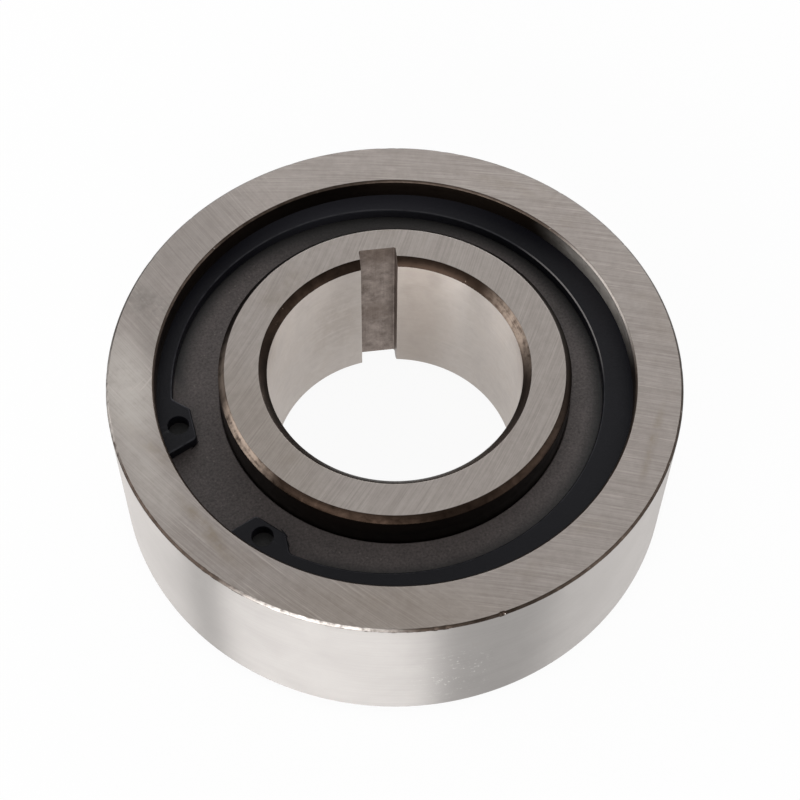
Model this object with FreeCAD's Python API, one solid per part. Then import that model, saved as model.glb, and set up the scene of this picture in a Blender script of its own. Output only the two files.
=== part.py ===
import FreeCAD, Part
import math
import os

from FreeCAD import Vector

# Sprag one-way clutch with a 40 mm keyed bore and a 90 mm outside.
# The origin is on the axis at mid-width. +Z runs along the axis and +Y through the keyway.
# Lengths are in millimetres and angles in degrees.

# Inner ring, from its bore outwards
bore_d = 40.0
hub_wall = 7.6
race_step = 0.5
face_proud = 1.0
hub_bore_chamfer = 1.27
hub_rim_chamfer = 1.0
race_edge_chamfer = 0.15
key_w = 6.0
key_depth = 2.8
key_corner_r = 0.3

# Outer ring, from its race outwards and from its race to its faces
race_len = 10.7
cover_ledge = 1.07
rim_wall = 7.5
groove_depth = 1.5
groove_play = 0.15
lip_depth = 3.6
rim_chamfer = 0.4
mouth_chamfer = 0.25
shoulder_chamfer = 0.2

# Covers, each a flat ring that carries the inner ring's journal
cover_t = 2.8
cover_seat_fit = 0.05
journal_fit = 0.05
thrust_play = 0.1
cover_chamfer = 0.2

# Circlips, seen from the upper side
clip_t = 2.0
clip_groove_fit = 0.1
clip_show = 3.55
clip_ecc = 0.77
clip_shift = 0.84
clip_shift_az = 117.0
clip_gap_az = -152.0
clip_half_gap = 8.34
clip_edge_r = 0.35
lug_hole_d = 3.4
lug_hole_inset = 3.15
lug_half_angle = 20.3
lug_edge = 2.4
lug_root = 2.7
lug_flank = 3.0
lug_corner_r = 0.7
lug_root_r = 0.9

# Sprags: two cam faces struck from offset centres, so that the height grows with the tilt
sprag_count = 28
sprag_gap = 8.33
sprag_clearance = 0.02
sprag_end_play = 0.1
sprag_side_gap = 0.2
foot_cam_r = 4.3
head_cam_r = 4.7
cam_offset = 0.45
sprag_waist = 3.8
sprag_corner_r = 0.45
sprag_end_chamfer = 0.2

# Garter springs, lying in a slot across both ends of every sprag
spring_d = 1.5
slot_play = 0.4
slot_lean = -3.0

# Radii
bore_r = bore_d / 2
journal_r = bore_r + hub_wall
inner_race_r = journal_r + race_step
outer_race_r = inner_race_r + sprag_gap
mid_race_r = (inner_race_r + outer_race_r) / 2
seat_r = outer_race_r + cover_ledge
groove_r = seat_r + groove_depth
rim_r = seat_r + rim_wall

# Heights above mid-width
race_z = race_len / 2
cover_z = race_z + cover_t
clip_z = cover_z + clip_t
face_z = clip_z + lip_depth
hub_z = face_z + face_proud
sprag_z = race_z - sprag_end_play

center = Vector(0, 0, 0)
axis_z = Vector(0, 0, 1)


def polar(radius, azimuth):
    angle = math.radians(azimuth)
    return Vector(radius * math.cos(angle), radius * math.sin(angle), 0)


def turned_ring(profile):
    """Revolve a closed outline of (radius, height) points about the axis."""
    points = [Vector(r, 0, z) for r, z in profile]
    face = Part.Face(Part.makePolygon(points + points[:1]))
    return face.revolve(center, axis_z, 360)


def both_sides(upper):
    """Close an outline by adding its upper half's mirror image below mid-width."""
    return upper + [(r, -z) for r, z in reversed(upper)]


def upright(edge):
    """True for an edge that runs straight along the axis."""
    start = edge.Vertexes[0].Point
    end = edge.Vertexes[-1].Point
    return abs(end.z - start.z) > 0.5 and math.hypot(end.x - start.x, end.y - start.y) < 1e-6


def make_outer_ring():
    """Ring with the outer race, and at each end a seat and a groove for cover and circlip."""
    return turned_ring(both_sides([
        (outer_race_r, race_z - shoulder_chamfer),
        (outer_race_r + shoulder_chamfer, race_z),
        (seat_r, race_z),
        (seat_r, cover_z - groove_play),
        (groove_r, cover_z - groove_play),
        (groove_r, clip_z),
        (seat_r, clip_z),
        (seat_r, face_z - mouth_chamfer),
        (seat_r + mouth_chamfer, face_z),
        (rim_r - rim_chamfer, face_z),
        (rim_r, face_z - rim_chamfer),
    ]))


def make_key_cutter():
    """Long bar with rounded outer corners that cuts the keyway from end to end."""
    bar = Part.makeBox(key_w, bore_r + key_depth, 4 * hub_z, Vector(-key_w / 2, 0, -2 * hub_z))
    corners = [e for e in bar.Edges if upright(e) and e.Vertexes[0].Point.y > bore_r]
    return bar.makeFillet(key_corner_r, corners)


def make_inner_ring():
    """Hub whose race is a step higher than its journals, with a keyway in the bore."""
    step_z = race_z - thrust_play
    hub = turned_ring(both_sides([
        (bore_r, hub_z - hub_bore_chamfer),
        (bore_r + hub_bore_chamfer, hub_z),
        (journal_r - hub_rim_chamfer, hub_z),
        (journal_r, hub_z - hub_rim_chamfer),
        (journal_r, step_z),
        (inner_race_r - race_edge_chamfer, step_z),
        (inner_race_r, step_z - race_edge_chamfer),
    ]))
    return hub.cut(make_key_cutter())


def make_upper_cover():
    """Flat ring between the shoulder and the circlip, in close fit on the journal."""
    hole_r = journal_r + journal_fit
    edge_r = seat_r - cover_seat_fit
    return turned_ring([
        (hole_r, race_z),
        (edge_r, race_z),
        (edge_r, cover_z - cover_chamfer),
        (edge_r - cover_chamfer, cover_z),
        (hole_r + cover_chamfer, cover_z),
        (hole_r, cover_z - cover_chamfer),
    ])


def make_lug(side):
    """Lug of the circlip, in place on its own side of the gap, before the gap is cut."""
    hole_r = seat_r - lug_hole_inset
    depth = (groove_r - hole_r) / 2
    root = lug_root + lug_flank
    outline = [
        Vector(-lug_edge, lug_root, 0),
        Vector(-lug_edge + lug_flank, root, 0),
        Vector(depth, root, 0),
        Vector(depth, -lug_root - lug_edge, 0),
        Vector(-lug_edge, -lug_root - lug_edge, 0),
    ]
    outline = [Vector(hole_r + p.x, side * p.y, 0) for p in outline]
    face = Part.Face(Part.makePolygon(outline + outline[:1]))
    lug = face.extrude(Vector(0, 0, clip_t))
    lug.rotate(center, axis_z, clip_gap_az + side * lug_half_angle)
    return lug


def make_upper_circlip():
    """Internal circlip: a band that thins towards the gap, with two eyed lugs beside it."""
    shift = polar(clip_shift, clip_shift_az)
    edge_center = shift + polar(clip_ecc, clip_gap_az)
    band = Part.makeCylinder(groove_r - clip_groove_fit, clip_t)
    band = band.cut(Part.makeCylinder(seat_r - clip_show, clip_t, edge_center))
    cutter = Part.makeBox(2 * groove_r, 2 * clip_half_gap, clip_t, Vector(0, -clip_half_gap, 0))
    cutter.rotate(center, axis_z, clip_gap_az)
    cutter.translate(shift)
    lugs = [make_lug(side) for side in (-1, 1)]
    for lug in lugs:
        lug.translate(shift)
        band = band.fuse(lug)
    clip = band.cut(cutter).removeSplitter()
    clip = round_lug_corners(clip, shift)
    clip = round_inner_edges(clip)
    for side in (-1, 1):
        eye = polar(seat_r - lug_hole_inset, clip_gap_az + side * lug_half_angle) + shift
        clip = clip.cut(Part.makeCylinder(lug_hole_d / 2, clip_t, eye))
    clip.translate(Vector(0, 0, cover_z))
    return clip


def round_lug_corners(clip, shift):
    """Round each lug's two inner corners, and the hollow where its flank meets the band."""
    corners = []
    roots = []
    for edge in clip.Edges:
        spot = edge.Vertexes[0].Point - shift
        reach = math.hypot(spot.x, spot.y)
        if not upright(edge) or reach > seat_r - clip_t / 2:
            continue
        tip_r = math.hypot(seat_r - lug_hole_inset - lug_edge, lug_root + lug_edge)
        if reach < tip_r:
            corners.append(edge)
        else:
            roots.append(edge)
    clip = clip.makeFillet(lug_corner_r, corners)
    spots = [e.Vertexes[0].Point for e in roots]
    roots = [e for e in clip.Edges if upright(e) and near_any(e.Vertexes[0].Point, spots)]
    return clip.makeFillet(lug_root_r, roots)


def near_any(point, spots):
    return any(math.hypot(point.x - s.x, point.y - s.y) < 1e-3 for s in spots)


def round_inner_edges(clip):
    """Round both edges of the band and lugs where they show inside the seat."""
    edges = []
    for edge in clip.Edges:
        spread = edge.BoundBox.ZLength
        middle = edge.valueAt((edge.FirstParameter + edge.LastParameter) / 2)
        if spread < 1e-6 and math.hypot(middle.x, middle.y) < seat_r - clip_t / 2:
            edges.append(edge)
    return clip.makeFillet(clip_edge_r, edges)


def cam_arc(mid, radius, low_x, high_x, rise):
    """Arc of a cam face from low_x to high_x; rise is 1 for the head and -1 for the foot."""
    points = []
    for x in (low_x, mid.x, high_x):
        height = math.sqrt(radius ** 2 - (x - mid.x) ** 2)
        points.append(Vector(x, mid.y + rise * height, 0))
    return points


def make_sprag():
    """One sprag about its own tilt axis: local Y points outwards and Z along the clutch axis."""
    half_pitch = math.tan(math.pi / sprag_count)
    foot_half = (inner_race_r + mid_race_r) / 2 * half_pitch - sprag_side_gap / 2
    head_half = (outer_race_r + mid_race_r) / 2 * half_pitch - sprag_side_gap / 2
    side = cam_offset / 2
    foot_reach = inner_race_r + foot_cam_r + sprag_clearance
    head_reach = outer_race_r - head_cam_r - sprag_clearance
    foot_mid = Vector(-side, math.sqrt(foot_reach ** 2 - side ** 2) - mid_race_r, 0)
    head_mid = Vector(side, math.sqrt(head_reach ** 2 - side ** 2) - mid_race_r, 0)
    foot = cam_arc(foot_mid, foot_cam_r, -foot_half, foot_half, -1)
    head = cam_arc(head_mid, head_cam_r, -head_half, head_half, 1)
    waist = Vector(sprag_waist / 2, 0, 0)
    outline = Part.Wire([
        Part.Arc(*foot).toShape(),
        Part.Arc(foot[2], waist, head[2]).toShape(),
        Part.Arc(head[2], head[1], head[0]).toShape(),
        Part.Arc(head[0], -waist, foot[0]).toShape(),
    ])
    body = Part.Face(outline).extrude(Vector(0, 0, 2 * sprag_z))
    body.translate(Vector(0, 0, -sprag_z))
    body = body.makeFillet(sprag_corner_r, [e for e in body.Edges if upright(e)])
    rims = [e for e in body.Edges if e.BoundBox.ZLength < 1e-6]
    body = body.makeChamfer(sprag_end_chamfer, rims)
    for end in (-1, 1):
        body = body.cut(make_slot_cutter(end))
    return body


def make_slot_cutter(end):
    """Bar that cuts the garter spring's slot across one end of a sprag.

    It leans, so that the tightening spring bears on the side that tips the sprag into grip.
    """
    height = spring_d + 2 * slot_play
    depth = spring_d + slot_play
    width = 2 * head_cam_r
    low_z = sprag_z - depth if end > 0 else -sprag_z - depth
    length = 2 * depth
    cutter = Part.makeBox(width, height, length, Vector(-width / 2, -height / 2, low_z))
    cutter.rotate(center, axis_z, slot_lean)
    return cutter


def make_spring():
    """Upper garter spring, closely wound, as the round ring that its coils fill."""
    slot_floor = sprag_z - spring_d - slot_play
    return Part.makeTorus(mid_race_r, spring_d / 2, Vector(0, 0, (slot_floor + race_z) / 2))


def turned_over(shape):
    """The same piece fitted from the lower side."""
    copy = shape.copy()
    copy.rotate(center, Vector(1, 0, 0), 180)
    return copy


def main():
    os.makedirs("parts", exist_ok=True)
    pieces = {"outer_ring": make_outer_ring(), "inner_ring": make_inner_ring()}
    uppers = {"cover": make_upper_cover(), "circlip": make_upper_circlip(), "garter_spring": make_spring()}
    for name, shape in uppers.items():
        pieces["upper_" + name] = shape
        pieces["lower_" + name] = turned_over(shape)
    sprag = make_sprag()
    for index in range(sprag_count):
        azimuth = 90 + 360 * index / sprag_count
        placed = sprag.copy()
        placed.translate(Vector(0, mid_race_r, 0))
        placed.rotate(center, axis_z, azimuth - 90)
        pieces["sprag_%02d" % (index + 1)] = placed
    for name, shape in pieces.items():
        print(name, shape.isValid(), len(shape.Solids), round(shape.Volume, 2))
        shape.exportStep("parts/" + name + ".step")


main()
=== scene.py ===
import math
import random

import bpy
from mathutils import Matrix, Vector


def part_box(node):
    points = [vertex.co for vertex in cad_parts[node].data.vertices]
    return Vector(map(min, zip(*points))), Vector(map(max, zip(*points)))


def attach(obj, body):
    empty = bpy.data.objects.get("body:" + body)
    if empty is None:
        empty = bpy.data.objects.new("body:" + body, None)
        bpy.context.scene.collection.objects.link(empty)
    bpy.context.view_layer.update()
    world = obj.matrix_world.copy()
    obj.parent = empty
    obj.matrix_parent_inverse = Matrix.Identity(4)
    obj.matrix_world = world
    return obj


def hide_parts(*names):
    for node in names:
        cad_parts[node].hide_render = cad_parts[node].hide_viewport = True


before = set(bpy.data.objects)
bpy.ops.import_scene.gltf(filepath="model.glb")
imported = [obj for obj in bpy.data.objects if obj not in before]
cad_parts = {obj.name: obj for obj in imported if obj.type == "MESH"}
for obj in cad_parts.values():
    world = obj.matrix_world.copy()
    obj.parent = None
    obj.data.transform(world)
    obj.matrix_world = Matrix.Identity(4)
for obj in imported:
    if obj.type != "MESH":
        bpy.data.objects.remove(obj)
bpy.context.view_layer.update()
mm = 0.001
weld = 0.001 * mm
facing = 0.97  # share of a face's normal along a direction, from which it counts as facing that way
margin = 0.1  # how far the centre of a face may lie off the level or radius that it is sorted by
print("frame loaded:", len(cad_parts), "nodes")

# Azimuths run counter-clockwise from +X in degrees. The part's lengths are in millimetres, and those
# of the studio and the camera in metres.
# The photograph looks along +Y, a little from the left.


def radiusOf(node):
    low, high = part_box(node)
    return max(high.x, high.y, -low.x, -low.y) / mm


def topOf(node):
    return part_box(node)[1].z / mm


def polar(radius, azimuth):
    angle = math.radians(azimuth)
    return radius * math.cos(angle), radius * math.sin(angle)


def bothSides(upper):
    return upper + [(r, -z) for r, z in reversed(upper)]


rimTop, hubTop = topOf("outer_ring"), topOf("inner_ring")


# Modelling steps that every turned piece shares

def selectOnly(piece):
    bpy.ops.object.select_all(action="DESELECT")
    piece.select_set(True)
    bpy.context.view_layer.objects.active = piece


def applyModifier(piece, kind, **settings):
    selectOnly(piece)
    modifier = piece.modifiers.new(kind.title(), kind)
    for key, value in settings.items():
        setattr(modifier, key, value)
    bpy.ops.object.modifier_apply(modifier=modifier.name)


def turnRing(name, outline, sides):
    # A circle is pulled along the outline, corner by corner, and sewn to its start
    radius, height = outline[0]
    bpy.ops.object.select_all(action="DESELECT")
    bpy.ops.mesh.primitive_circle_add(vertices=sides, radius=radius * mm, location=(0, 0, height * mm))
    piece = bpy.context.object
    piece.name = name
    piece.data.name = name
    bpy.ops.object.transform_apply(location=True, rotation=True, scale=True)
    bpy.ops.object.mode_set(mode="EDIT")
    bpy.ops.mesh.select_mode(type="VERT")
    bpy.ops.mesh.select_all(action="SELECT")
    for nextRadius, nextHeight in outline[1:] + outline[:1]:
        rise = (nextHeight - height) * mm
        bpy.ops.mesh.extrude_region_move(TRANSFORM_OT_translate={"value": (0, 0, rise)})
        grow = nextRadius / radius
        bpy.ops.transform.resize(value=(grow, grow, 1), center_override=(0, 0, 0))
        radius, height = nextRadius, nextHeight
    bpy.ops.mesh.select_all(action="SELECT")
    bpy.ops.mesh.remove_doubles(threshold=weld)
    bpy.ops.mesh.normals_make_consistent(inside=False)
    bpy.ops.object.mode_set(mode="OBJECT")
    return piece


def breakEdges(piece, width, angle=20):
    applyModifier(piece, "BEVEL", width=width * mm, segments=2, limit_method="ANGLE",
                  angle_limit=math.radians(angle), miter_outer="MITER_SHARP")


def smoothTurned(piece, angle=32):
    selectOnly(piece)
    bpy.ops.object.shade_smooth_by_angle(angle=math.radians(angle))
    applyModifier(piece, "WEIGHTED_NORMAL", keep_sharp=True, weight=90)


def dressFaces(piece, material, belongs):
    # Gives the material to each face for which belongs is true. It gets the radius and height of the
    # face's centre, the share of its normal that points outwards and upwards, and the centre itself.
    selectOnly(piece)
    piece.data.materials.append(material)
    if belongs is None:
        return
    bpy.ops.object.mode_set(mode="EDIT")
    bpy.ops.mesh.select_mode(type="FACE")
    bpy.ops.mesh.select_all(action="DESELECT")
    bpy.ops.object.mode_set(mode="OBJECT")
    for face in piece.data.polygons:
        spot = face.center / mm
        outward = spot.xy.normalized().dot(face.normal.xy)
        face.select = belongs(spot.xy.length, spot.z, outward, face.normal.z, spot)
    piece.active_material_index = len(piece.data.materials) - 1
    bpy.ops.object.mode_set(mode="EDIT")
    bpy.ops.object.material_slot_assign()
    bpy.ops.object.mode_set(mode="OBJECT")


# Shader node helpers

def feed(tree, node, inputs):
    for key, value in inputs.items():
        if isinstance(value, bpy.types.NodeSocket):
            tree.links.new(value, node.inputs[key])
        else:
            node.inputs[key].default_value = value


def addNode(tree, kind, inputs=None, **settings):
    made = tree.nodes.new(kind)
    for key, value in settings.items():
        setattr(made, key, value)
    feed(tree, made, inputs or {})
    return made


def compute(tree, operation, first, second=0.0, third=0.0):
    return addNode(tree, "ShaderNodeMath", {0: first, 1: second, 2: third}, operation=operation).outputs[0]


def plus(tree, first, second):
    return compute(tree, "ADD", first, second)


def times(tree, first, second):
    return compute(tree, "MULTIPLY", first, second)


def remap(tree, value, fromLow, fromHigh, toLow=0.0, toHigh=1.0, smooth=True):
    kind = "SMOOTHSTEP" if smooth else "LINEAR"
    inputs = {"Value": value, "From Min": fromLow, "From Max": fromHigh, "To Min": toLow, "To Max": toHigh}
    return addNode(tree, "ShaderNodeMapRange", inputs, interpolation_type=kind, clamp=True).outputs[0]


def mixValue(tree, factor, first, second):
    return addNode(tree, "ShaderNodeMix", {0: factor, 2: first, 3: second}).outputs[0]


def mixColour(tree, factor, first, second):
    inputs = {0: factor, 6: first, 7: second}
    return addNode(tree, "ShaderNodeMix", inputs, data_type="RGBA").outputs[2]


def noise(tree, place, scale, detail, roughness, distortion=0.0):
    inputs = {"Vector": place, "Scale": scale, "Detail": detail, "Roughness": roughness,
              "Distortion": distortion}
    return addNode(tree, "ShaderNodeTexNoise", inputs).outputs["Fac"]


def vectorMath(tree, operation, first, second=(0, 0, 0)):
    return addNode(tree, "ShaderNodeVectorMath", {0: first, 1: second}, operation=operation).outputs


def split(tree, vector):
    return addNode(tree, "ShaderNodeSeparateXYZ", {0: vector}).outputs


def combine(tree, x, y, z):
    return addNode(tree, "ShaderNodeCombineXYZ", {0: x, 1: y, 2: z}).outputs[0]


def newGroup(name, inputs, outputs):
    group = bpy.data.node_groups.new(name, "ShaderNodeTree")
    for label, kind in inputs:
        group.interface.new_socket(name=label, in_out="INPUT", socket_type=kind)
    for label in outputs:
        group.interface.new_socket(name=label, in_out="OUTPUT", socket_type="NodeSocketFloat")
    start = group.nodes.new("NodeGroupInput")
    end = group.nodes.new("NodeGroupOutput")
    return group, start.outputs, end.inputs


def useGroup(tree, group, inputs):
    return addNode(tree, "ShaderNodeGroup", inputs, node_tree=group).outputs


vectorKind, floatKind = "NodeSocketVector", "NodeSocketFloat"


def makePlaceGroup():
    # Distance from a centre, length along the circle through the point, and height, in millimetres
    group, start, end = newGroup("placeRound", [("Place", vectorKind), ("Center", vectorKind)],
                                 ["Reach", "Arc", "Height"])
    parts = split(group, vectorMath(group, "SUBTRACT", start["Place"], start["Center"])[0])
    reach = vectorMath(group, "LENGTH", combine(group, parts[0], parts[1], 0.0))["Value"]
    turn = compute(group, "ARCTAN2", parts[1], parts[0])
    group.links.new(reach, end["Reach"])
    group.links.new(times(group, turn, reach), end["Arc"])
    group.links.new(parts[2], end["Height"])
    return group


def makeStreakGroup():
    # Scratches narrow across one direction and long along the other: even lines, wide bands, sparse marks
    sockets = [(label, floatKind) for label in ("Across", "Along", "Spacing", "Length", "Seed")]
    group, start, end = newGroup("streaks", sockets, ["Fine", "Broad", "Marks"])
    across = compute(group, "DIVIDE", start["Across"], start["Spacing"])
    along = compute(group, "DIVIDE", start["Along"], start["Length"])
    kinds = {"Fine": (1.0, 1.0, 0.0, 2.0), "Broad": (0.17, 0.4, 7.0, 2.0), "Marks": (0.7, 1.6, 13.0, 1.0)}
    for label, (narrow, short, shift, detail) in kinds.items():
        spot = combine(group, times(group, across, narrow), times(group, along, short),
                       plus(group, start["Seed"], shift))
        lines = noise(group, spot, 1.0, detail, 0.6)
        if label == "Marks":
            lines = remap(group, lines, 0.60, 0.74)
        group.links.new(lines, end[label])
    return group


def makeBlotchGroup():
    # Soft stains with ragged edges
    sockets = [("Place", vectorKind), ("Size", floatKind), ("Cover", floatKind)]
    group, start, end = newGroup("blotches", sockets, ["Mask", "Soft"])
    scale = compute(group, "DIVIDE", 1.0, start["Size"])
    soft = noise(group, start["Place"], scale, 5.0, 0.6, 0.4)
    edge = compute(group, "SUBTRACT", 0.72, times(group, start["Cover"], 0.44))
    group.links.new(remap(group, soft, edge, plus(group, edge, 0.12)), end["Mask"])
    group.links.new(soft, end["Soft"])
    return group


def makeSpeckGroup():
    # Fine scattered specks
    sockets = [("Place", vectorKind), ("Size", floatKind), ("Share", floatKind)]
    group, start, end = newGroup("specks", sockets, ["Mask"])
    scale = compute(group, "DIVIDE", 1.0, start["Size"])
    cells = addNode(group, "ShaderNodeTexVoronoi", {"Vector": start["Place"], "Scale": scale}).outputs
    chosen = compute(group, "LESS_THAN", split(group, cells["Color"])[0], start["Share"])
    dot = remap(group, cells["Distance"], 0.15, 0.42, 1.0, 0.0)
    group.links.new(times(group, chosen, dot), end["Mask"])
    return group


patternSeeds = {"ground": 1.3, "otherWheel": 4.3, "hatch": 9.4, "turned": 2.1, "scaled": 5.7}
placeGroup = makePlaceGroup()
streakGroup = makeStreakGroup()
blotchGroup = makeBlotchGroup()
speckGroup = makeSpeckGroup()
print("shared finishes ready")


def glossFrom(tree, tone, low, high, roughness, rougher, smoother):
    # Rougher where the tone is low, smoother where it is high
    return remap(tree, tone, low, high, roughness + rougher, roughness - smoother, smooth=False)


def newMaterial(name):
    material = bpy.data.materials.new(name)
    material.use_nodes = True
    tree = material.node_tree
    shader = tree.nodes["Principled BSDF"]
    coordinates = addNode(tree, "ShaderNodeTexCoord").outputs["Object"]
    scaled = {"Vector": coordinates, "Scale": (1 / mm, 1 / mm, 1 / mm)}
    place = addNode(tree, "ShaderNodeMapping", scaled).outputs[0]
    return material, tree, shader, place


def roundPlace(tree, place, center=(0, 0)):
    return useGroup(tree, placeGroup, {"Place": place, "Center": (center[0], center[1], 0)})


def streaks(tree, across, along, spacing, length, seed):
    inputs = {"Across": across, "Along": along, "Spacing": spacing, "Length": length, "Seed": seed}
    return useGroup(tree, streakGroup, inputs)


def blotches(tree, place, size, cover):
    return useGroup(tree, blotchGroup, {"Place": place, "Size": size, "Cover": cover})


def specks(tree, place, look):
    inputs = {"Place": place, "Size": look["speckSize"], "Share": look["speckShare"]}
    return useGroup(tree, speckGroup, inputs)["Mask"]


# What a mark has where its own entry says nothing else

plainMark = {"tall": 30, "grain": 0.45, "solid": (0.55, 0.95), "core": 0.15, "raggedShare": 0.5}


def stainMask(tree, place, mark, ragged):
    # A long soft smear centred on mark["at"], turned by mark["turn"], broken up by noise
    mark = dict(plainMark, **mark)
    inputs = {"Vector": place, "Location": mark["at"], "Rotation": (0, 0, math.radians(mark["turn"])),
              "Scale": (mark["long"], mark["wide"], mark["tall"])}
    moved = addNode(tree, "ShaderNodeMapping", inputs, vector_type="TEXTURE").outputs[0]
    fade = remap(tree, vectorMath(tree, "LENGTH", moved)["Value"], mark["core"], 1.0, 1.0, 0.0)
    rough = plus(tree, noise(tree, place, mark["grain"], 4.0, 0.65), times(tree, ragged, mark["raggedShare"]))
    broken = remap(tree, rough, mark["solid"][0], mark["solid"][1])
    return times(tree, times(tree, fade, broken), mark["strength"])


def smear(tree, place, marks, ragged, colour, tint):
    for mark in marks:
        colour = mixColour(tree, stainMask(tree, place, mark, ragged), colour, mark.get("colour", tint))
    return colour


def bumpFrom(tree, height, distance, strength):
    inputs = {"Height": height, "Distance": distance * mm, "Strength": strength}
    return addNode(tree, "ShaderNodeBump", inputs).outputs[0]


# Ground end faces: arcs that the grinding wheel left, struck from a centre far off the axis

groundLook = {
    "colour": (0.250, 0.226, 0.210, 1), "shade": (0.187, 0.165, 0.152, 1),
    "stain": (0.150, 0.120, 0.084, 1), "bright": (0.36, 0.325, 0.30, 1),
    "roughness": 0.36, "anisotropy": 0.85, "spacing": 0.21, "length": 13.0, "lineDepth": 0.012,
    "scratches": 0.34, "mottle": 0.7, "mottleShare": 0.35, "toneLow": 0.39, "toneHigh": 0.61,
    "stainSize": 9.0, "stainCover": 0.35, "stainDepth": 0.1,
    "hatches": [{"center": (-179.0, 144.0), "spacing": 0.3, "length": 9.0, "at": (-40.2, 2.1, rimTop),
                 "turn": 90, "long": 7.0, "wide": 5.0, "strength": 1.0, "solid": (0.0, 0.4)}],
}


def awayFrom(tree, place, center):
    parts = split(tree, vectorMath(tree, "SUBTRACT", place, (center[0], center[1], 0))[0])
    level = combine(tree, parts[0], parts[1], 0.0)
    turned = addNode(tree, "ShaderNodeVectorTransform", {0: level}, vector_type="VECTOR",
                     convert_from="OBJECT", convert_to="WORLD").outputs[0]
    return vectorMath(tree, "NORMALIZE", turned)[0]


def groundSteel(name, centers, border, stainsAndSheen, look):
    material, tree, shader, place = newMaterial(name)
    sets = []
    for center, seed in zip(centers, (patternSeeds["ground"], patternSeeds["otherWheel"])):
        spot = roundPlace(tree, place, center)
        sets.append(streaks(tree, spot["Reach"], spot["Arc"], look["spacing"], look["length"], seed))
    labels = ("Fine", "Broad", "Marks")
    fine, broad, deep = [sets[0][label] for label in labels]
    tangent = awayFrom(tree, place, centers[0])
    if len(centers) > 1:
        # Two wheels' marks meet along a soft border across the face
        parts = split(tree, place)
        side = plus(tree, times(tree, parts[0], border["normal"][0]),
                    times(tree, parts[1], border["normal"][1]))
        share = remap(tree, side, border["offset"] - border["width"], border["offset"] + border["width"])
        fine, broad, deep = [mixValue(tree, share, sets[0][label], sets[1][label]) for label in labels]
        other = awayFrom(tree, place, centers[1])
        flip = addNode(tree, "ShaderNodeVectorMath", {0: other, 3: -1.0}, operation="SCALE").outputs[0]
        both = {0: share, 4: tangent, 5: flip}
        tangent = addNode(tree, "ShaderNodeMix", both, data_type="VECTOR").outputs[1]
    lines = plus(tree, times(tree, fine, 0.8), times(tree, broad, 0.2))
    mottle = noise(tree, place, look["mottle"], 5.0, 0.75)
    tone = plus(tree, times(tree, lines, 1 - look["mottleShare"]), times(tree, mottle, look["mottleShare"]))
    tone = remap(tree, tone, look["toneLow"], look["toneHigh"], smooth=False)
    colour = mixColour(tree, tone, look["shade"], look["colour"])
    colour = mixColour(tree, times(tree, deep, look["scratches"]), colour, look["bright"])
    cloud = blotches(tree, place, look["stainSize"], look["stainCover"])
    colour = mixColour(tree, times(tree, cloud["Mask"], look["stainDepth"]), colour, look["stain"])
    # Stains, and patches of painted sheen where the list gives them
    colour = smear(tree, place, stainsAndSheen, lines, colour, look["stain"])
    for hatch in look["hatches"]:
        spot = roundPlace(tree, place, hatch["center"])
        crossing = streaks(tree, spot["Reach"], spot["Arc"], hatch["spacing"], hatch["length"],
                           patternSeeds["hatch"])
        crossed = times(tree, crossing["Marks"], stainMask(tree, place, hatch, crossing["Broad"]))
        colour = mixColour(tree, crossed, colour, look["bright"])
    roughness = glossFrom(tree, lines, 0.3, 0.7, look["roughness"], 0.05, 0.04)
    feed(tree, shader, {"Base Color": colour, "Roughness": roughness, "Metallic": 1.0,
                        "Anisotropic": look["anisotropy"], "Tangent": tangent,
                        "Normal": bumpFrom(tree, lines, look["lineDepth"], 0.35)})
    return material


# Turned and bored walls: scratches run round the axis, or along it in the broached keyway

def turnedSteel(name, look):
    material, tree, shader, place = newMaterial(name)
    spot = roundPlace(tree, place)
    across, along = spot["Height"], spot["Arc"]
    if look.get("upright"):
        across, along = along, across
    lines = streaks(tree, across, along, look["spacing"], look["length"], patternSeeds["turned"])
    cloud = blotches(tree, place, look["stainSize"], look["stainCover"])
    tone = plus(tree, times(tree, lines["Fine"], 0.5), times(tree, cloud["Soft"], 0.5))
    if "mottle" in look:
        tone = mixValue(tree, look["mottleShare"], tone, noise(tree, place, look["mottle"], 5.0, 0.7))
    colour = mixColour(tree, remap(tree, tone, 0.35, 0.65, smooth=False), look["shade"], look["colour"])
    colour = mixColour(tree, times(tree, cloud["Mask"], look["stainDepth"]), colour, look["stain"])
    colour = smear(tree, place, look.get("marks", []), lines["Broad"], colour, look["stain"])
    # Painted glints, where a look lists them
    if "paintedGlints" in look:
        colour = smear(tree, place, look["paintedGlints"], lines["Fine"], colour, look["bright"])
    patchy = times(tree, compute(tree, "SUBTRACT", cloud["Soft"], 0.5), look.get("patchy", 0.16))
    height = plus(tree, lines["Fine"], times(tree, specks(tree, place, look), look["speckDepth"]))
    feed(tree, shader, {"Base Color": colour, "Roughness": plus(tree, look["roughness"], patchy),
                        "Metallic": 1.0, "Anisotropic": look["anisotropy"], "Anisotropic Rotation": 0.25,
                        "Normal": bumpFrom(tree, height, look["lineDepth"], 0.5)})
    return material


# Heat-darkened steel with bright wear and, where a look's marks give it, painted highlight: chamfers and
# walls that no wheel has touched

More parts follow.
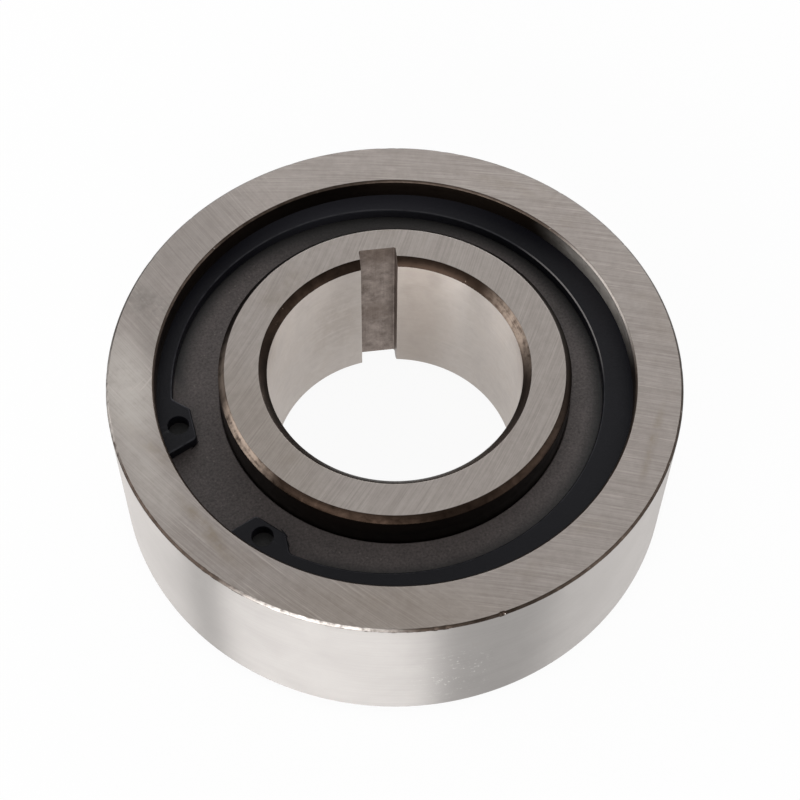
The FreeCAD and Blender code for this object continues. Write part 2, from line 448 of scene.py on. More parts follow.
def scaledSteel(name, look):
    material, tree, shader, place = newMaterial(name)
    spot = roundPlace(tree, place)
    lines = streaks(tree, spot["Height"], spot["Arc"], look["spacing"], look["length"],
                    patternSeeds["scaled"])
    cloud = blotches(tree, place, look["wearSize"], look["wearCover"])
    tone = remap(tree, plus(tree, lines["Broad"], cloud["Soft"]), 0.75, 1.25, smooth=False)
    colour = mixColour(tree, tone, look["shade"], look["colour"])
    rubbed = times(tree, cloud["Mask"], look["wearDepth"])
    wearAndHighlight = compute(tree, "MAXIMUM", rubbed, specks(tree, place, look))
    for mark in look["marks"]:
        wearAndHighlight = compute(tree, "MAXIMUM", wearAndHighlight, stainMask(tree, place, mark, lines["Fine"]))
    colour = mixColour(tree, wearAndHighlight, colour, look["bright"])
    roughness = glossFrom(tree, tone, 0.0, 1.0, look["roughness"], 0.06, 0.05)
    height = plus(tree, lines["Fine"], times(tree, cloud["Soft"], 2.0))
    feed(tree, shader, {"Base Color": colour, "Roughness": roughness, "Metallic": 1.0,
                        "Specular IOR Level": 0.6, "Anisotropic": look["anisotropy"],
                        "Anisotropic Rotation": 0.25, "Normal": bumpFrom(tree, height, 0.01, 0.4)})
    return material


# Blackened iron: dense fine grain with light specks, and the patches of painted shading that a look lists:
# painted shade on the cover, painted light on the circlip

def grainIron(name, look):
    material, tree, shader, place = newMaterial(name)
    grain = noise(tree, place, look["grain"], 3.0, 0.7)
    cloud = blotches(tree, place, look["cloudSize"], look["cloudCover"])
    tone = plus(tree, times(tree, grain, 0.7), times(tree, cloud["Soft"], 0.3))
    colour = mixColour(tree, remap(tree, tone, 0.3, 0.7, smooth=False), look["shade"], look["colour"])
    colour = mixColour(tree, times(tree, specks(tree, place, look), 0.7), colour, look["speck"])
    colour = smear(tree, place, look["paintedShading"], grain, colour, look["paintedShadingColour"])
    if "corner" in look:
        # Painted shade: the cover darkens towards the circlip's inner edge, where the circlip shades it, but
        # not across the circlip's gap
        corner = look["corner"]
        reach = roundPlace(tree, place, corner["center"])["Reach"]
        shadedNearClip = remap(tree, reach, corner["low"], corner["high"], 0.0, corner["strength"])
        ahead = vectorMath(tree, "DOT_PRODUCT", place, corner["gap"])["Value"]
        clipPresent = remap(tree, ahead, corner["gapLow"], corner["gapHigh"], 1.0, 0.0)
        colour = mixColour(tree, times(tree, shadedNearClip, clipPresent), colour, look["paintedShadingColour"])
    roughness = glossFrom(tree, grain, 0.3, 0.7, look["roughness"], 0.08, 0.08)
    feed(tree, shader, {"Base Color": colour, "Roughness": roughness, "Metallic": 0.0,
                        "Specular IOR Level": look["specular"], "Normal": bumpFrom(tree, grain, 0.05, 0.6)})
    return material


print("material makers ready")


# Outer ring

outerRing = {
    "raceRadius": 36.43, "seatRadius": 37.5, "grooveRadius": 39.0, "rimRadius": radiusOf("outer_ring"),
    "shoulderHeight": 5.35, "grooveLow": 8.0, "grooveHigh": 10.15, "faceHeight": rimTop,
    "rimChamfer": 0.4, "mouthChamfer": 0.35, "shoulderChamfer": 0.2, "edgeBreak": 0.05, "sides": 1024,
    "nicks": 46, "nickSpan": (-138, -88), "nickDepth": (0.02, 0.08), "nickWidth": (0.25, 0.8), "seed": 11,
    "faintNicks": 30, "faintDepth": 0.04, "nickDrop": 0.4,
    "notchAt": -77.2, "notchWidth": 0.5, "notchDepth": 0.2, "dentReach": 0.15,
}


def outerOutline(size):
    race, seat, groove = size["raceRadius"], size["seatRadius"], size["grooveRadius"]
    rim, face = size["rimRadius"], size["faceHeight"]
    return bothSides([
        (race, size["shoulderHeight"] - size["shoulderChamfer"]),
        (race + size["shoulderChamfer"], size["shoulderHeight"]),
        (seat, size["shoulderHeight"]), (seat, size["grooveLow"]),
        (groove, size["grooveLow"]), (groove, size["grooveHigh"]),
        (seat, size["grooveHigh"]), (seat, face - size["mouthChamfer"]),
        (seat + size["mouthChamfer"], face), (rim - size["rimChamfer"], face),
        (rim, face - size["rimChamfer"]), (rim, face - size["rimChamfer"] - size["dentReach"]),
    ])


def nickRim(piece, size):
    # Small dents where the ring was knocked, along both edges of the upper rim chamfer
    draw = random.Random(size["seed"])
    width, depth = size["nickWidth"], size["nickDepth"]
    dents = [(draw.uniform(*size["nickSpan"]), draw.uniform(*width), draw.uniform(*depth))
             for _ in range(size["nicks"])]
    dents += [(draw.uniform(-180, 180), draw.uniform(*width), size["faintDepth"])
              for _ in range(size["faintNicks"])]
    dents.append((size["notchAt"], size["notchWidth"], size["notchDepth"]))
    rim, face, slack = size["rimRadius"], size["faceHeight"], size["rimChamfer"] + 0.01
    for vertex in piece.data.vertices:
        spot = vertex.co / mm
        radius = spot.xy.length
        if spot.z < face - slack or radius < rim - slack:
            continue
        azimuth = math.degrees(math.atan2(spot.y, spot.x))
        deep = 0.0
        for at, half, dent in dents:
            off = abs((azimuth - at + 180) % 360 - 180) * math.radians(1) * rim
            if off < half:
                deep = max(deep, dent * (1 - off / half))
        inward = 1 - deep / radius
        vertex.co = Vector((spot.x * inward, spot.y * inward, spot.z - deep * size["nickDrop"])) * mm


lineCenters = {"rimLeft": (161.3, 141.9), "rimRight": (-56.6, -295.0), "hub": (-148.7, 91.6)}
rimBorder = {"normal": (0.964, 0.268), "offset": -8.1, "width": 9.0}
rimStainsAndSheen = [
    {"at": (-39.0, -9.0, rimTop), "turn": 128, "long": 10.0, "wide": 1.6, "strength": 0.6},
    {"at": (-31.5, -24.5, rimTop), "turn": -58, "long": 11.0, "wide": 1.6, "strength": 0.6},
    {"at": (37.3, -18.0, rimTop), "turn": 65, "long": 11.0, "wide": 1.0, "strength": 0.5},
    {"at": (25.1, -31.1, rimTop), "turn": 20, "long": 4.0, "wide": 1.4, "strength": 0.3},
    {"at": (22.0, 34.5, rimTop), "turn": -30, "long": 10.0, "wide": 2.0, "strength": 0.3},
    # The patches from here on are partly stains and partly painted reflection of the ground face's sheen:
    # lighter at the left and front left, darker at the back left and at the front
    {"at": (-37.4, 17.2, rimTop), "turn": -36, "long": 9.5, "wide": 4.2, "strength": 0.85,
     "grain": 0.9, "solid": (0.5, 1.0), "colour": (0.140, 0.128, 0.118, 1)},
    {"at": (-38.6, -16.0, rimTop), "turn": 112, "long": 12.0, "wide": 4.5, "strength": 0.45,
     "solid": (0.1, 0.9), "colour": (0.375, 0.350, 0.325, 1)},
    {"at": (-29.5, 29.5, rimTop), "turn": 45, "long": 20.0, "wide": 8.0, "strength": 0.4,
     "solid": (0.0, 0.6), "colour": (0.165, 0.150, 0.140, 1)},
    {"at": (-41.6, 1.0, rimTop), "turn": 95, "long": 17.0, "wide": 6.5, "strength": 0.75,
     "solid": (0.1, 0.9), "colour": (0.375, 0.350, 0.325, 1)},
    {"at": (-36.8, 9.0, rimTop), "turn": 110, "long": 9.0, "wide": 3.0, "strength": 0.35,
     "solid": (0.25, 0.8), "colour": (0.155, 0.142, 0.130, 1)},
    {"at": (-8.0, -41.0, rimTop), "turn": -8, "long": 30.0, "wide": 9.0, "strength": 0.22,
     "solid": (0.2, 0.7)},
]
hubStains = [
    {"at": (-22.0, -9.0, hubTop), "turn": -65, "long": 24.0, "wide": 9.0, "strength": 0.2,
     "solid": (0.2, 0.7)},
    {"at": (-16.0, 17.0, hubTop), "turn": 45, "long": 8.0, "wide": 3.0, "strength": 0.3},
]
rimWallLook = {
    "colour": (0.400, 0.381, 0.368, 1), "shade": (0.347, 0.329, 0.317, 1), "stain": (0.26, 0.215, 0.18, 1),
    "roughness": 0.47, "anisotropy": 1.0, "spacing": 0.10, "length": 22.0, "lineDepth": 0.004,
    "stainSize": 8.0, "stainCover": 0.22, "stainDepth": 0.08, "speckSize": 0.45, "speckShare": 0.012,
    "speckDepth": 2.0, "patchy": 0.03, "bright": (0.72, 0.70, 0.68, 1),
    # Painted glints: bright flecks on the outer wall just right of the front
    "paintedGlints": [{"at": (3.6, -44.8, -3.0), "turn": 0, "long": 8.0, "wide": 8.0, "tall": 12.0,
                "strength": 0.9, "grain": 1.5, "solid": (0.86, 0.96)}],
}
# Bright marks on the rim and mouth chamfers: partly rubbed wear, partly painted highlight where the chamfers
# catch the lamps, at the front left, the left and the mouth on the right
rimWearAndHighlights = [
    {"at": (-17.5, -41.2, 13.55), "turn": -23, "long": 19.0, "wide": 6.0, "strength": 0.8, "grain": 1.1,
     "solid": (0.35, 0.95)},
    {"at": (-44.6, 0.5, 13.55), "turn": 91, "long": 16.0, "wide": 4.0, "strength": 0.5, "grain": 0.8,
     "solid": (0.5, 0.8)},
    {"at": (35.9, 10.3, 13.7), "turn": 106, "long": 20.0, "wide": 6.0, "strength": 0.35, "grain": 0.9,
     "solid": (0.2, 0.8)},
]
# Painted highlight: a bright band on the upper seat wall at the right, where the lamps from the left light it
mouthHighlight = [
    {"at": (35.3, 12.6, 13.4), "turn": 109, "long": 21.0, "wide": 7.0, "tall": 7.0, "strength": 0.9,
     "grain": 0.8, "solid": (0.2, 0.8)},
]
# Bright marks on the hub and bore chamfers: partly rubbed wear, partly painted highlight at the front left,
# the left and the bore's right, where the chamfers face the lamps
hubWearAndHighlights = [
    {"at": (-25.1, -10.2, 14.25), "turn": -68, "long": 12.0, "wide": 4.0, "strength": 0.9, "grain": 0.8,
     "solid": (0.42, 0.9)},
    {"at": (-27.2, 3.4, 14.4), "turn": 83, "long": 9.0, "wide": 3.0, "strength": 0.6, "grain": 0.7,
     "solid": (0.4, 0.8)},
    {"at": (20.3, 4.6, 14.1), "turn": 103, "long": 14.0, "wide": 4.0, "strength": 0.8, "grain": 0.9,
     "solid": (0.42, 0.9)},
]
chamferLook = {
    "colour": (0.050, 0.038, 0.031, 1), "shade": (0.018, 0.013, 0.010, 1), "bright": (0.43, 0.40, 0.375, 1),
    "roughness": 0.36, "anisotropy": 0.0, "spacing": 0.22, "length": 14.0, "wearSize": 1.6,
    "wearCover": 0.12, "wearDepth": 0.6, "speckSize": 0.22, "speckShare": 0.004, "marks": rimWearAndHighlights,
}
mouthLook = dict(
    chamferLook, marks=mouthHighlight, bright=(0.56, 0.52, 0.48, 1), colour=(0.024, 0.017, 0.013, 1),
    shade=(0.0075, 0.005, 0.0038, 1), anisotropy=0.9, wearCover=0.04, speckShare=0.0,
)
raceLook = {
    "colour": (0.55, 0.52, 0.50, 1), "shade": (0.46, 0.43, 0.41, 1), "stain": (0.30, 0.25, 0.2, 1),
    "roughness": 0.25, "anisotropy": 0.7, "spacing": 0.08, "length": 20.0, "lineDepth": 0.004,
    "stainSize": 6.0, "stainCover": 0.1, "stainDepth": 0.1,
    "speckSize": 0.4, "speckShare": 0.0, "speckDepth": 0.0,
}


def makeOuterRing(size):
    piece = turnRing("outerRing", outerOutline(size), size["sides"])
    nickRim(piece, size)
    breakEdges(piece, size["edgeBreak"])
    smoothTurned(piece)
    face, shoulder = size["faceHeight"], size["shoulderHeight"]
    seat, rim = size["seatRadius"], size["rimRadius"]

    def inMouth(r, z, out, up, spot):
        seatWall = r < seat + 0.02 + size["edgeBreak"] and abs(z) > shoulder - margin and out < -0.9
        recess = shoulder - 0.3 < abs(z) < face - 0.5 and r < rim - 1
        return seatWall or recess

    dressFaces(piece, scaledSteel("rimChamfer", chamferLook), None)
    centers = [lineCenters["rimLeft"], lineCenters["rimRight"]]
    dressFaces(piece, groundSteel("groundRim", centers, rimBorder, rimStainsAndSheen, groundLook),
               lambda r, z, out, up, spot: abs(up) > facing and abs(z) > face - margin)
    dressFaces(piece, turnedSteel("turnedRim", rimWallLook),
               lambda r, z, out, up, spot: out > facing and r > rim - 0.3)
    dressFaces(piece, scaledSteel("mouthWall", mouthLook), inMouth)
    dressFaces(piece, turnedSteel("outerRace", raceLook),
               lambda r, z, out, up, spot: abs(z) < shoulder - margin and r < seat)
    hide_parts("outer_ring")
    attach(piece, "outer_ring")


makeOuterRing(outerRing)
print("outer ring turned")


# Inner ring

innerRing = {
    "boreRadius": 20.0, "journalRadius": 27.6, "raceRadius": 28.1, "raceHeight": 5.25,
    "hubHeight": hubTop, "boreChamfer": 1.27, "hubChamfer": 1.0, "raceChamfer": 0.15,
    "keyWidth": 6.0, "keyDepth": 2.8, "keyCorner": 0.3, "cornerSteps": 4, "edgeBreak": 0.05, "sides": 768,
}
hubGroundLook = dict(groundLook, colour=(0.300, 0.272, 0.252, 1), shade=(0.235, 0.210, 0.194, 1))
boreLook = {
    "colour": (0.58, 0.535, 0.498, 1), "shade": (0.46, 0.416, 0.386, 1), "stain": (0.24, 0.185, 0.145, 1),
    "roughness": 0.38, "anisotropy": 0.93, "spacing": 0.12, "length": 12.0, "lineDepth": 0.005,
    "stainSize": 3.4, "stainCover": 0.55, "stainDepth": 0.1, "mottle": 0.3, "mottleShare": 0.4,
    "speckSize": 0.5, "speckShare": 0.01, "speckDepth": 1.0,
    "marks": [{"at": (-7.5, 18.5, 1.0), "turn": 22, "long": 8.0, "wide": 4.0, "tall": 13.0,
               "strength": 0.25, "grain": 0.35, "solid": (0.55, 0.85)},
              # Painted shade: this mark darkens the bore in a full-height band just right of the keyway
              {"at": (6.2, 19.0, 3.0), "turn": -18, "long": 9.0, "wide": 6.0, "tall": 40.0,
               "strength": 0.4, "solid": (-0.5, 0.2)}],
}
keywayLook = {
    "colour": (0.320, 0.268, 0.238, 1), "shade": (0.128, 0.101, 0.087, 1), "stain": (0.09, 0.062, 0.047, 1),
    "roughness": 0.42, "anisotropy": 0.0, "spacing": 0.14, "length": 6.0, "lineDepth": 0.01,
    "upright": True, "stainSize": 1.5, "stainCover": 0.55, "stainDepth": 0.1, "mottle": 0.6,
    "mottleShare": 0.7, "speckSize": 0.35, "speckShare": 0.03, "speckDepth": 1.0,
    "marks": [{"at": (0.0, 22.8, 13.6), "turn": 0, "long": 6.0, "wide": 4.0, "tall": 4.4, "strength": 0.62,
               "grain": 0.9, "solid": (0.2, 0.8)},
              {"at": (-1.0, 22.8, -2.5), "turn": 0, "long": 5.0, "wide": 4.0, "tall": 3.6, "strength": 0.5,
               "grain": 0.9, "solid": (0.3, 0.8)}],
}
journalLook = dict(
    chamferLook, marks=[], colour=(0.012, 0.008, 0.0055, 1), shade=(0.004, 0.0026, 0.0018, 1),
    anisotropy=0.6, wearCover=0.0, speckShare=0.0,
)
hubChamferLook = dict(
    chamferLook, marks=hubWearAndHighlights, bright=(0.150, 0.118, 0.096, 1), colour=(0.019, 0.0125, 0.0092, 1),
    shade=(0.0068, 0.0043, 0.003, 1), roughness=0.33, wearCover=0.06, wearDepth=0.3, speckShare=0.003,
)


def innerOutline(size):
    bore, journal, race = size["boreRadius"], size["journalRadius"], size["raceRadius"]
    hub, raceHeight = size["hubHeight"], size["raceHeight"]
    return bothSides([
        (bore, hub - size["boreChamfer"]), (bore + size["boreChamfer"], hub),
        (journal - size["hubChamfer"], hub), (journal, hub - size["hubChamfer"]),
        (journal, raceHeight), (race - size["raceChamfer"], raceHeight),
        (race, raceHeight - size["raceChamfer"]),
    ])


def makeKeyCutter(size):
    reach = size["boreRadius"] + size["keyDepth"]
    bpy.ops.object.select_all(action="DESELECT")
    bpy.ops.mesh.primitive_cube_add(size=1, location=(0, reach / 2 * mm, 0))
    cutter = bpy.context.object
    cutter.scale = (size["keyWidth"] * mm, reach * mm, 3 * size["hubHeight"] * mm)
    bpy.ops.object.transform_apply(location=True, rotation=True, scale=True)
    bpy.ops.object.mode_set(mode="EDIT")
    bpy.ops.mesh.select_mode(type="EDGE")
    bpy.ops.mesh.select_all(action="DESELECT")
    bpy.ops.object.mode_set(mode="OBJECT")
    for edge in cutter.data.edges:
        ends = [cutter.data.vertices[i].co for i in edge.vertices]
        edge.select = abs(ends[0].z - ends[1].z) > mm and ends[0].y > size["boreRadius"] * mm
    bpy.ops.object.mode_set(mode="EDIT")
    bpy.ops.mesh.bevel(offset=size["keyCorner"] * mm, segments=size["cornerSteps"], affect="EDGES")
    bpy.ops.object.mode_set(mode="OBJECT")
    return cutter


def makeInnerRing(size):
    piece = turnRing("innerRing", innerOutline(size), size["sides"])
    breakEdges(piece, size["edgeBreak"])
    cutter = makeKeyCutter(size)
    applyModifier(piece, "BOOLEAN", operation="DIFFERENCE", solver="EXACT", object=cutter)
    bpy.data.objects.remove(cutter)
    smoothTurned(piece)
    hub, bore, journal = size["hubHeight"], size["boreRadius"], size["journalRadius"]
    half = size["keyWidth"] / 2
    dressFaces(piece, scaledSteel("hubChamfer", hubChamferLook), None)
    dressFaces(piece, groundSteel("groundHub", [lineCenters["hub"]], None, hubStains, hubGroundLook),
               lambda r, z, out, up, spot: abs(up) > facing and abs(z) > hub - margin)
    dressFaces(piece, turnedSteel("bore", boreLook),
               lambda r, z, out, up, spot: out < -facing and r < bore + 0.3)
    dressFaces(piece, turnedSteel("keyway", keywayLook),
               lambda r, z, out, up, spot: abs(up) < 0.3 and spot.y > bore - 1.5
               and abs(spot.x) < half + 0.01 and r < journal - 2)
    dressFaces(piece, scaledSteel("journal", journalLook),
               lambda r, z, out, up, spot: out > 0.9 and r < journal + margin
               and abs(z) > size["raceHeight"])
    dressFaces(piece, turnedSteel("innerRace", raceLook),
               lambda r, z, out, up, spot: r > journal + 0.02)
    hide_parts("inner_ring")
    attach(piece, "inner_ring")


makeInnerRing(innerRing)
print("inner ring turned and broached")


# Covers

cover = {
    "holeRadius": 27.65, "edgeRadius": 37.45, "low": 5.35, "high": 8.15, "chamfer": 0.2, "edgeBreak": 0.04,
    "sides": 512,
}
coverLook = {
    "colour": (0.106, 0.088, 0.084, 1), "shade": (0.030, 0.0245, 0.0235, 1), "speck": (0.14, 0.12, 0.11, 1),
    "roughness": 0.66, "specular": 0.45, "grain": 2.6, "cloudSize": 7.0, "cloudCover": 0.4,
    "speckSize": 0.5, "speckShare": 0.03,
    "paintedShadingColour": (0.003, 0.0026, 0.0024, 1),
    # Painted shade: black under the circlip's two eyes, and a dark patch on the cover at the back, behind the
    # hub
    "paintedShading": [{"at": (-34.4, -3.9, cover["high"]), "turn": 0, "long": 2.5, "wide": 2.5, "strength": 2.5,
                 "solid": (-0.5, 0.0)},
                {"at": (-23.2, -24.9, cover["high"]), "turn": 0, "long": 2.5, "wide": 2.5, "strength": 2.5,
                 "solid": (-0.5, 0.0)},
                {"at": (0.0, 31.5, cover["high"]), "turn": 0, "long": 26.0, "wide": 10.0, "strength": 0.8,
                 "solid": (-0.5, 0.0)}],
    # Painted shade: darker towards the circlip's inner edge, where it shades the cover
    "corner": {"center": (-1.06, 0.39), "low": 31.0, "high": 33.9, "strength": 0.97,
               "gap": (-0.883, -0.469, 0), "gapLow": 26.5, "gapHigh": 29.0},
}


def makeCover(name, node, side, size):
    hole, edge, bevel = size["holeRadius"], size["edgeRadius"], size["chamfer"]
    outline = [(hole, size["low"]), (edge, size["low"]), (edge, size["high"] - bevel),
               (edge - bevel, size["high"]), (hole + bevel, size["high"]), (hole, size["high"] - bevel)]
    piece = turnRing(name, [(r, side * z) for r, z in outline], size["sides"])
    breakEdges(piece, size["edgeBreak"])
    smoothTurned(piece)
    piece.data.materials.append(coverIron)
    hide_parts(node)
    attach(piece, "outer_ring")


coverIron = grainIron("coverIron", coverLook)
makeCover("upperCover", "upper_cover", 1, cover)
makeCover("lowerCover", "lower_cover", -1, cover)
print("covers turned")


# Circlips: the stamped outline, with its edges softened, rubbed bright in places and given a painted
# highlight on the right

circlip = {
    "rounding": 0.3, "steps": 5, "corner": 60, "edgeBreak": 0.08, "flat": 0.02, "seat": 37.0,
    "eye": 1.8, "eyes": [(-34.42, -3.85), (-23.23, -24.90)],
}
clipLook = {
    "colour": (0.0048, 0.0048, 0.0072, 1), "shade": (0.0030, 0.0030, 0.0046, 1),
    "speck": (0.30, 0.27, 0.24, 1), "roughness": 0.42, "specular": 0.13, "grain": 2.2,
    "cloudSize": 7.0, "cloudCover": 0.4, "speckSize": 0.3, "speckShare": 0.0,
    "paintedShadingColour": (0.017, 0.017, 0.021, 1),
    # Painted light: a lighter patch on the circlip at the back, behind the hub
    "paintedShading": [{"at": (0.0, 36.5, outerRing["grooveHigh"]), "turn": 0, "long": 34.0, "wide": 16.0,
                 "strength": 1.0, "solid": (-0.5, 0.0)}],
}
clipEdgeLook = dict(
    chamferLook, colour=(0.030, 0.030, 0.033, 1), shade=(0.012, 0.012, 0.014, 1),
    bright=(0.16, 0.152, 0.15, 1), roughness=0.4, wearCover=0.05, speckShare=0.0,
    # Painted highlight: the first mark brightens the edge rounding along the inner edge on the right; the
    # second is a small speckled bright spot at the front
    marks=[{"at": (30.8, 10.5, 10.1), "turn": 109, "long": 20.0, "wide": 5.0, "strength": 1.0,
            "grain": 0.5, "solid": (0.1, 0.6)},
           {"at": (-3.8, -35.1, 10.1), "turn": 0, "long": 5.0, "wide": 2.5, "strength": 0.8,
            "grain": 2.4, "solid": (0.75, 0.9)}],
)
clipSteel = grainIron("clipSteel", clipLook)
clipEdgeSteel = scaledSteel("clipEdge", clipEdgeLook)


def makeCirclip(name, node, size):
    # The outline of the CAD solid at mid height, filled, drawn out again and rounded in even rows
    piece = bpy.data.objects.new(name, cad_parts[node].data.copy())
    piece.data.name = name
    bpy.context.scene.collection.objects.link(piece)
    selectOnly(piece)
    bpy.ops.mesh.customdata_custom_splitnormals_clear()
    heights = [vertex.co.z for vertex in piece.data.vertices]
    low, high = min(heights), max(heights)
    middle = (low + high) / 2
    bpy.ops.object.mode_set(mode="EDIT")
    bpy.ops.mesh.select_mode(type="VERT")
    bpy.ops.mesh.select_all(action="SELECT")
    bpy.ops.mesh.remove_doubles(threshold=weld)
    bpy.ops.mesh.bisect(plane_co=(0, 0, middle), plane_no=(0, 0, 1), clear_inner=True, clear_outer=True)
    bpy.ops.mesh.select_all(action="SELECT")
    bpy.ops.mesh.dissolve_limited(angle_limit=math.radians(size["flat"]))
    bpy.ops.mesh.select_all(action="SELECT")
    bpy.ops.transform.translate(value=(0, 0, low - middle))
    bpy.ops.mesh.fill(use_beauty=True)
    bpy.ops.mesh.select_all(action="SELECT")
    bpy.ops.mesh.extrude_region_move(TRANSFORM_OT_translate={"value": (0, 0, high - low)})
    bpy.ops.mesh.select_all(action="SELECT")
    bpy.ops.mesh.dissolve_limited(angle_limit=math.radians(size["flat"]))
    bpy.ops.mesh.normals_make_consistent(inside=False)
    bpy.ops.mesh.select_mode(type="EDGE")
    bpy.ops.mesh.select_all(action="DESELECT")
    bpy.ops.mesh.edges_select_sharp(sharpness=math.radians(size["corner"]))
    bpy.ops.object.mode_set(mode="OBJECT")
    corners = piece.data.vertices
    for edge in piece.data.edges:
        ends = [corners[i].co / mm for i in edge.vertices]
        level = abs(ends[0].z - ends[1].z) < 0.01
        shown = min(end.xy.length for end in ends) < size["seat"]
        atEye = any(math.dist(end.xy, eye) < size["eye"] for end in ends for eye in size["eyes"])
        edge.select = edge.select and level and shown and not atEye
    bpy.ops.object.mode_set(mode="EDIT")
    bpy.ops.mesh.bevel(offset=size["rounding"] * mm, segments=size["steps"], affect="EDGES",
                       clamp_overlap=False)
    bpy.ops.object.mode_set(mode="OBJECT")
    piece.data.materials.clear()
    breakEdges(piece, size["edgeBreak"], angle=size["corner"])
    smoothTurned(piece)
    dressFaces(piece, clipSteel, None)
    dressFaces(piece, clipEdgeSteel, lambda r, z, out, up, spot: 0.6 < abs(up) < 0.999)
    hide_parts(node)
    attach(piece, "outer_ring")


makeCirclip("upperCirclip", "upper_circlip", circlip)
makeCirclip("lowerCirclip", "lower_circlip", circlip)
print("circlips finished")


# Sprags keep their own solids and get their finish here

spragLook = dict(
    raceLook, colour=(0.50, 0.47, 0.45, 1), shade=(0.38, 0.36, 0.34, 1), roughness=0.3, anisotropy=0.0,
)
spragSteel = turnedSteel("spragSteel", spragLook)
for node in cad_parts:
    if node.startswith("sprag_"):
        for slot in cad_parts[node].material_slots:
            slot.material = spragSteel
print("sprags dressed")


# Garter springs, wound as a straight close coil and bent into a ring

garterSpring = {
    "ringRadius": 32.265, "coilRadius": 0.72, "wire": 0.3, "turns": 600, "turnSteps": 9, "wireSides": 6,
}
springLook = dict(
    raceLook, colour=(0.34, 0.32, 0.30, 1), shade=(0.24, 0.22, 0.21, 1), roughness=0.32, anisotropy=0.0,
)
springSteel = turnedSteel("springSteel", springLook)


def windSpring(name, node, size):
    low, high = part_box(node)
    pitch = 2 * math.pi * size["ringRadius"] / size["turns"]
    length = pitch * size["turns"]
    start = (-length / 2 * mm, 0, (size["coilRadius"] - size["wire"] / 2) * mm)
    bpy.ops.object.select_all(action="DESELECT")
    bpy.ops.mesh.primitive_circle_add(vertices=size["wireSides"], radius=size["wire"] / 2 * mm,
                                      location=start, rotation=(math.pi / 2, 0, 0))
    piece = bpy.context.object
    piece.name = name
    piece.data.name = name
    bpy.ops.object.transform_apply(location=True, rotation=True, scale=True)
    applyModifier(piece, "SCREW", axis="X", angle=2 * math.pi, screw_offset=pitch * mm,
                  steps=size["turnSteps"], render_steps=size["turnSteps"], iterations=size["turns"],
                  use_merge_vertices=False)
    applyModifier(piece, "SIMPLE_DEFORM", deform_method="BEND", deform_axis="Z", angle=2 * math.pi)
    spots = [vertex.co for vertex in piece.data.vertices]
    middle = [(min(spot[i] for spot in spots) + max(spot[i] for spot in spots)) / 2 for i in range(3)]
    bpy.ops.object.mode_set(mode="EDIT")
    bpy.ops.mesh.select_mode(type="VERT")
    bpy.ops.mesh.select_all(action="SELECT")
    bpy.ops.transform.translate(value=(-middle[0], -middle[1], (low.z + high.z) / 2 - middle[2]))
    bpy.ops.mesh.remove_doubles(threshold=0.01 * mm)
    bpy.ops.mesh.normals_make_consistent(inside=False)
    bpy.ops.object.mode_set(mode="OBJECT")
    bpy.ops.object.shade_smooth()
    piece.data.materials.append(springSteel)
    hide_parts(node)
    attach(piece, "outer_ring")


windSpring("upperGarterSpring", "upper_garter_spring", garterSpring)
windSpring("lowerGarterSpring", "lower_garter_spring", garterSpring)
print("garter springs wound")


# Studio: a plain white floor and sky, with soft panels standing round the part

studio = {
    "floorSize": 3.0, "floorHeight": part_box("inner_ring")[0].z, "floorTone": 0.8, "floorRoughness": 0.9,
    "shadowShown": 0.06, "white": 1.0, "skyLight": 0.4,
}
lamps = {
    "side": {"azimuth": 174, "spread": 23, "distance": 0.9, "low": 0.02, "high": 0.60, "power": 4.8},
    "key": {"azimuth": -118, "spread": 33, "distance": 0.9, "low": 0.02, "high": 0.60, "power": 13},
    "bridge": {"azimuth": -22, "spread": 27, "distance": 0.9, "low": 0.02, "high": 0.50, "power": 3.2},
    "back": {"azimuth": 75, "spread": 40, "distance": 0.9, "low": 0.02, "high": 0.7, "power": 9},
}


def seenDirectly(tree):
    # 1 for what the camera, a reflection or a clear piece sees, 0 for what lights dull surfaces
    rays = addNode(tree, "ShaderNodeLightPath").outputs
    seen = compute(tree, "MAXIMUM", rays["Is Camera Ray"], rays["Is Transmission Ray"])
    return compute(tree, "MAXIMUM", seen, rays["Is Glossy Ray"])


def makeFloor(size):
    bpy.ops.object.select_all(action="DESELECT")
    bpy.ops.mesh.primitive_plane_add(size=size["floorSize"], location=(0, 0, size["floorHeight"]))
    floor = bpy.context.object
    floor.name = "floor"
    material, tree, shader = newMaterial("paleFloor")[:3]
    tone = size["floorTone"]
    feed(tree, shader, {"Base Color": (tone, tone, tone, 1), "Roughness": size["floorRoughness"],
                        "Specular IOR Level": 0.0})
    shown = seenDirectly(tree)
    white = addNode(tree, "ShaderNodeEmission", {"Color": (1, 1, 1, 1), "Strength": size["white"]})
    share = times(tree, shown, 1 - size["shadowShown"])
    mix = addNode(tree, "ShaderNodeMixShader", {0: share, 1: shader.outputs[0], 2: white.outputs[0]})
    tree.links.new(mix.outputs[0], tree.nodes["Material Output"].inputs["Surface"])
    floor.data.materials.append(material)


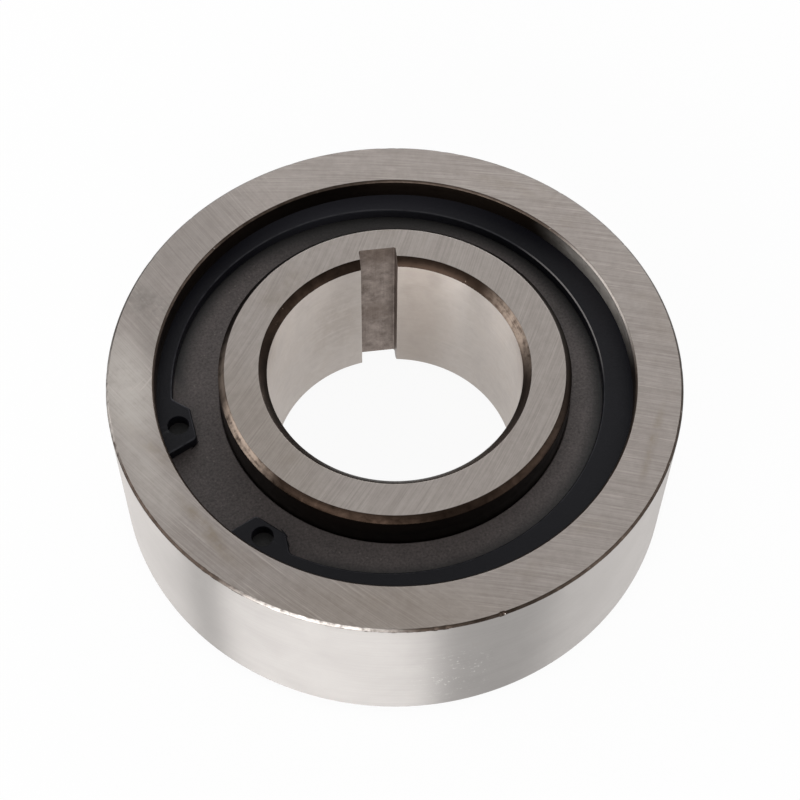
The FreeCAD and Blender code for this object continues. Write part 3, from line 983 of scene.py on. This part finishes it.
def makeLamp(name, look):
    # A soft panel that stands on the floor and faces the axis
    data = bpy.data.lights.new(name, "AREA")
    data.shape = "RECTANGLE"
    data.size = 2 * look["distance"] * math.tan(math.radians(look["spread"]))
    data.size_y = look["high"] - look["low"]
    data.energy = look["power"]
    x, y = polar(look["distance"], look["azimuth"])
    lamp = bpy.data.objects.new(name, data)
    bpy.context.scene.collection.objects.link(lamp)
    lamp.location = (x, y, (look["high"] + look["low"]) / 2)
    lamp.rotation_euler = Vector((x, y, 0)).to_track_quat("Z", "Y").to_euler()
    lamp.visible_camera = False


def makeSky(size):
    # White wherever the camera or a reflection sees it, softer where it lights dull surfaces
    world = bpy.data.worlds.new("studio")
    bpy.context.scene.world = world
    world.use_nodes = True
    tree = world.node_tree
    tree.nodes.clear()
    shown = seenDirectly(tree)
    level = mixValue(tree, shown, size["skyLight"], size["white"])
    glow = addNode(tree, "ShaderNodeBackground", {"Color": (1, 1, 1, 1), "Strength": level})
    output = addNode(tree, "ShaderNodeOutputWorld")
    tree.links.new(glow.outputs[0], output.inputs["Surface"])


makeFloor(studio)
makeSky(studio)
for lampName, lampLook in lamps.items():
    makeLamp(lampName, lampLook)
print("studio lit")


# Camera. Its azimuth counts from the front, where it looks along +Y.

camera = {
    "lens": 83.58, "sensor": 36.0, "near": 0.01, "distance": 0.28995, "azimuth": -8.0, "elevation": 56.629,
    "aim": (0, 0, rimTop * mm), "pan": -0.1628, "tilt": -0.9561, "roll": 0.6995,
}


def makeCamera(look):
    data = bpy.data.cameras.new("camera")
    data.lens = look["lens"]
    data.sensor_width = look["sensor"]
    data.clip_start = look["near"]
    viewer = bpy.data.objects.new("camera", data)
    bpy.context.scene.collection.objects.link(viewer)
    base = (Matrix.Rotation(math.radians(look["azimuth"]), 4, "Z")
            @ Matrix.Rotation(math.radians(90 - look["elevation"]), 4, "X"))
    turn = base
    for angle, axis in ((look["pan"], "Y"), (look["tilt"], "X"), (look["roll"], "Z")):
        turn = turn @ Matrix.Rotation(math.radians(angle), 4, axis)
    spot = Vector(look["aim"]) + base @ Vector((0, 0, look["distance"]))
    viewer.matrix_world = Matrix.Translation(spot) @ turn
    bpy.context.scene.camera = viewer


makeCamera(camera)
bpy.context.scene.view_settings.view_transform = "Standard"
print("camera placed")
